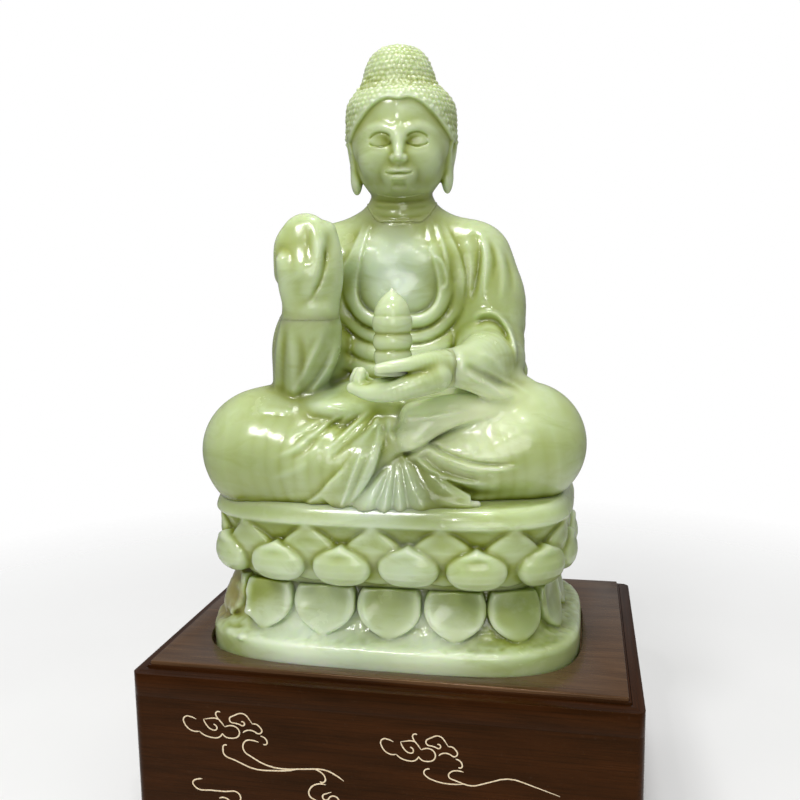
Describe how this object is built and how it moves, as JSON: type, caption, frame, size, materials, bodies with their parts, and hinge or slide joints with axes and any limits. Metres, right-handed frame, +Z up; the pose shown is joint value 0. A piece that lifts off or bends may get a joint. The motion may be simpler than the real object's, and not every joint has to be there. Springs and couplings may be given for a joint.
{
  "type": "jade figurine",
  "caption": "Polished green stone seated Buddha with raised hand and pagoda, on a double lotus throne set into a dark wooden box stand.",
  "frame": {"origin": "centre of the stand's footprint, on the ground", "axes": "+Z up, the figure faces -Y, +X is the figure's left-hand side"},
  "size_m": [0.35, 0.24, 0.5748],
  "materials": {
    "jade": "high polish, translucent",
    "dark_wood": "dark stain, semi-gloss lacquer",
    "raw_wood": "unfinished",
    "cream_inlay": "satin",
    "felt": "matt felt",
    "pad_felt": "matt hard felt",
    "screw_steel": "zinc plated"
  },
  "bodies": {
    "stand": {"front_panel": "dark_wood", "back_panel": "dark_wood", "left_panel": "dark_wood", "right_panel": "dark_wood", "top_rail_front": "dark_wood", "top_rail_back": "dark_wood", "top_rail_left": "dark_wood", "top_rail_right": "dark_wood", "top_panel": "dark_wood", "recess_floor": "raw_wood", "recess_felt": "felt", "left_bearer": "raw_wood", "right_bearer": "raw_wood", "corner_blocks": "raw_wood", "bottom_board": "raw_wood", "base_screws": "screw_steel", "foot_pads": "pad_felt", "cloud_inlay_left": "cream_inlay", "cloud_inlay_right": "cream_inlay", "wave_inlay_low": "cream_inlay"},
    "figurine": {"lotus_base": "jade", "lotus_seat": "jade", "robed_body": "jade", "head": "jade", "raised_hand": "jade", "cupped_hand": "jade", "pagoda": "jade"}
  },
  "joints": [
    {"name": "lift_out", "type": "slide", "parent": "stand", "child": "figurine", "axis": [0, 0, 1], "range_m": [0, 0.06]}
  ]
}
